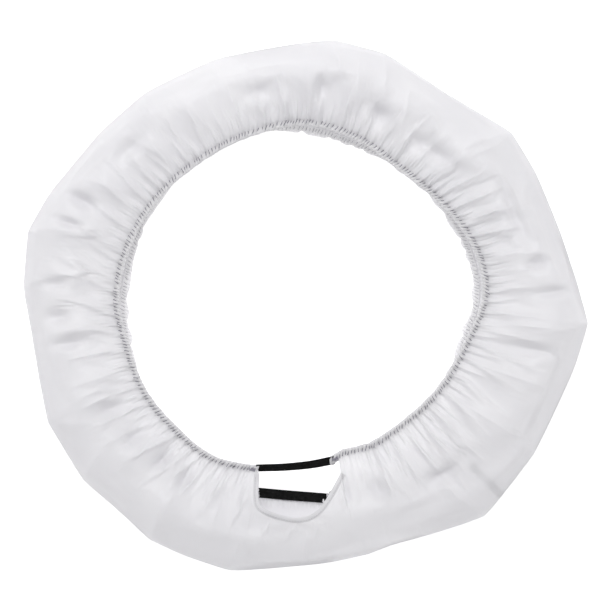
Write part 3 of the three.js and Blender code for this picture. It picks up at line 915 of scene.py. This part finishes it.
def floor_material():
    look = Nodes("pale_floor")
    look.shader.inputs["Base Color"].default_value = (0.96, 0.96, 0.96, 1)
    look.shader.inputs["Roughness"].default_value = 0.9
    look.shader.inputs["Specular IOR Level"].default_value = 0.0
    look.shader.inputs["Emission Color"].default_value = WHITE
    look.shader.inputs["Emission Strength"].default_value = FLOOR_GLOW
    return look.material


# ---- building the pieces ----
def finish_piece(obj, material, slot, *nodes):
    obj.data.materials.append(material)
    if nodes:
        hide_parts(*nodes)
    return obj


def front_hem_height(angle, u):
    """Height of the front hem's middle: flat at its nose, following the film's folds outside."""
    free = smoothstep(1.5 * MM, HEM_WIDTH, u)
    fold = fold_height(angle, np.zeros_like(angle))
    return HEM_HEIGHT + fold[:, None] * free[None, :]


def back_hem_height(angle, u):
    return np.full((len(angle), len(u)), BACK_HEM_HEIGHT)


def places_of(obj):
    flat = np.empty(len(obj.data.vertices) * 3)
    obj.data.vertices.foreach_get("co", flat)
    return flat.reshape(-1, 3)


def ring_blend(obj):
    """Bakes the piece's transform into its points and works out each point's share across the front film; the
    shares are not used.
    """
    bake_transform(obj)
    places = places_of(obj)
    angle = np.arctan2(places[:, 1], places[:, 0])
    radius = np.hypot(places[:, 0], places[:, 1])
    share = (radius - front_radius(angle, 0)) / (front_radius(angle, 1) - front_radius(angle, 0))


def build_film(material):
    coarse = np.linspace(0, TAU, CLOTH_COLUMNS, endpoint=False)
    placed = film_places(coarse)
    shaped = limited(simulated(placed), placed, MOST_MOVE)
    grid = finer_columns(shaped, FINE)
    angle = np.arctan2(grid[:, 0, 1], grid[:, 0, 0])
    grid = with_gathers(grid, angle)
    grid[:, :, 2] = np.maximum(grid[:, :, 2], 0.5 * SHEET)
    obj = add_mesh("film_sleeve", grid.reshape(-1, 3), grid_faces(len(grid), ROWS, True))
    nodes = ["film_back_face", *LOWER_WALL, *UPPER_WALL, "film_front_face", "film_front_gather"]
    finish_piece(obj, material, "film", *nodes)
    ring_blend(obj)
    return obj, grid


def build_hems(film, back_film, thread, pale_thread, elastic):
    casings = []
    front = (front_edge, front_hem_height, FRONT_SEED, "front_rim", FRONT_LOBES, 0, film, thread)
    back = (back_edge, back_hem_height, BACK_SEED, "cover", BACK_LOBES, BACK_HEM_TUCK, back_film, pale_thread)
    for face, parts in (("front", front), ("back", back)):
        edge, height_at, seed, body, lobes, tuck, sheet, sewing = parts
        node = f"{face}_hem_casing"
        angle = hem_angles(node, 2400, tuck)
        casing = hem_casing(f"{face}_casing", angle, edge, height_at, seed, lobes)
        finish_piece(casing, sheet, "film", node)
        stitches = hem_stitches(f"{face}_stitches", node, edge, height_at, seed)
        finish_piece(stitches, sewing, "thread", f"{face}_hem_stitching")
        strip_angle = hem_angles(f"{face}_hem_elastic", 700)
        strip = elastic_strip(f"{face}_elastic", strip_angle, edge, height_at)
        finish_piece(strip, elastic, "hem_elastic", f"{face}_hem_elastic")
        for piece in (casing, stitches, strip):
            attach(piece, body)
        casings.append(casing)
    return casings


def in_box(node, shares):
    low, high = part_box(node)
    return [tuple(low[i] + (high[i] - low[i]) * s[i] for i in range(3)) for s in shares]


def band_blend(obj, node):
    """Bakes the band's transform into its points and works out how far along its CAD box each point lies; the
    result is not used.
    """
    low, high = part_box(node)
    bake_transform(obj)
    along = (places_of(obj)[:, 0] - low.x) / (high.x - low.x)


def build_bands(material):
    for place, path, tilts, parent in (
        ("upper", UPPER_PATH, UPPER_TILT, "front_rim"),
        ("lower", LOWER_PATH, LOWER_TILT, "cover"),
    ):
        node = f"{place}_band"
        stations = band_stations(in_box(node, path), tilts, BAND_STATIONS)
        piece = band(f"{place}_elastic_band", stations, BAND_WIDTH, BAND_THICKNESS, BAND_RIBS)
        finish_piece(piece, material, "black_elastic", node)
        band_blend(piece, node)


def band_end(name, edge, height_at, angles):
    """The sewn end of a band, pinched inside a hem."""
    stations = []
    for angle in angles:
        radius = float(edge(np.array([angle]))[0]) + END_INSET
        place = np.array([radius * math.cos(angle), radius * math.sin(angle), height_at])
        across = np.array([math.cos(angle), math.sin(angle), 0.0])
        stations.append((place, across, np.array([0.0, 0.0, 1.0])))
    return band(name, stations, END_WIDTH, END_THICKNESS, END_RIBS)


def build_band_ends(material, thread, pale_thread):
    for name, face, edge, height, body, sewing in (
        ("upper", "front", front_edge, HEM_HEIGHT, "front_rim", thread),
        ("lower", "back", back_edge, BACK_HEM_HEIGHT, "cover", pale_thread),
    ):
        arc = hem_angles(f"{face}_hem_casing", 400)
        for side, angles in (("right", arc[2:12:2]), ("left", arc[-12:-2:2])):
            end = band_end(f"{name}_{side}_band_end", edge, height, angles)
            finish_piece(end, material, "black_elastic", f"{name}_band_{side}_end")
            node = f"{name}_{side}_bartack"
            tack = bartack(f"{name}_{side}_tack", node, height + TACK_LIFT)
            finish_piece(tack, sewing, "thread", node)
            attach(end, body)
            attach(tack, body)


def build_notch(sleeve, film, pale_thread):
    surface = Surface(sleeve)
    hem = turned_edge("notch_hem", NOTCH_LINE, surface, NOTCH_HEM)
    sides = [f"front_notch_hem_{side}" for side in ("left", "foot", "right")]
    finish_piece(hem, film, "film", *sides)
    seam = running_stitches("notch_stitches", NOTCH_LINE, surface)
    finish_piece(seam, pale_thread, "thread", "front_notch_stitching")
    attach(hem, "front_rim")
    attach(seam, "front_rim")
    arc = hem_angles("back_notch_hem", 90)
    radius = back_edge(arc) + BACK_NOTCH_INSET
    line = np.stack([radius * np.cos(arc), radius * np.sin(arc)], axis=1)
    back = turned_edge("back_edge_hem", line, surface, NOTCH_HEM)
    finish_piece(back, film, "film", "back_notch_hem")
    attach(back, "cover")


def build_seam(grid, material):
    """A narrow tape inside the sleeve where the ends of the film strip meet."""
    low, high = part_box("joining_seam")
    angle = math.atan2((low.y + high.y) / 2, (low.x + high.x) / 2)
    turn = np.arctan2(grid[:, 0, 1], grid[:, 0, 0])
    middle = int(np.argmin(np.abs((turn - angle + math.pi) % TAU - math.pi)))
    columns = [(middle + k) % len(grid) for k in (-SEAM_SPREAD, 0, SEAM_SPREAD)]
    normal = grid_normals(grid)
    stations = []
    for row in range(FRONT_ROWS // 2, ROWS - 3):
        near = [grid[k, row] - normal[k, row] * SEAM_NEAR for k in columns]
        far = [grid[k, row] - normal[k, row] * SEAM_FAR for k in reversed(columns)]
        stations.append(near + far)
    tape = tube_mesh("seam_tape", np.array(stations))
    finish_piece(tape, material, "film", "joining_seam")
    ring_blend(tape)


# ---- stage ----
def build_stage():
    bpy.ops.mesh.primitive_plane_add(size=FLOOR_SIZE, location=(0, 0, -FLOOR_GAP))
    floor = bpy.context.object
    floor.name = "floor"
    floor.data.materials.append(floor_material())
    view = bpy.data.cameras.new("camera")
    view.lens = LENS
    view.sensor_width = SENSOR
    camera = bpy.data.objects.new("camera", view)
    camera.location = (*FRAME_MIDDLE, FRAME_WIDTH * LENS / SENSOR + FRAME_HEIGHT)
    bpy.context.collection.objects.link(camera)
    bpy.context.scene.camera = camera
    for name, place, size, energy in LAMPS:
        light = bpy.data.lights.new(name, "AREA")
        light.size = size
        light.energy = energy
        lamp = bpy.data.objects.new(name, light)
        lamp.location = place
        lamp.rotation_euler = (-Vector(place)).to_track_quat("-Z", "Y").to_euler()
        bpy.context.collection.objects.link(lamp)
    world = bpy.data.worlds.new("studio")
    world.use_nodes = True
    sky = world.node_tree.nodes["Background"]
    sky.inputs["Color"].default_value = WHITE
    sky.inputs["Strength"].default_value = SKY_STRENGTH
    bpy.context.scene.world = world
    bpy.context.scene.view_settings.view_transform = "Standard"


def main():
    film = film_material("milky_film")
    black = woven_material("black_elastic", BAND_DARK, BAND_LIGHT, WEAVE)
    white = woven_material("white_elastic", ELASTIC_DARK, ELASTIC_LIGHT, WEAVE)
    # Dark thread, partly painted shade where it lies in the front hem's gather valleys.
    thread = thread_material("grey_thread_and_painted_shade", THREAD_AND_SHADE_DARK, THREAD_AND_SHADE_LIGHT)
    pale_thread = thread_material("pale_thread", PALE_THREAD_DARK, PALE_THREAD_LIGHT)
    sleeve, grid = build_film(film)
    # The back hem's film carries a painted glow in place of light from the floor under it.
    back_film = film_material("painted_glow_film", PAINTED_FLOOR_GLOW)
    casings = build_hems(film, back_film, thread, pale_thread, white)
    build_bands(black)
    build_band_ends(black, thread, pale_thread)
    build_notch(sleeve, film, pale_thread)
    build_seam(grid, film)


main()
build_stage()
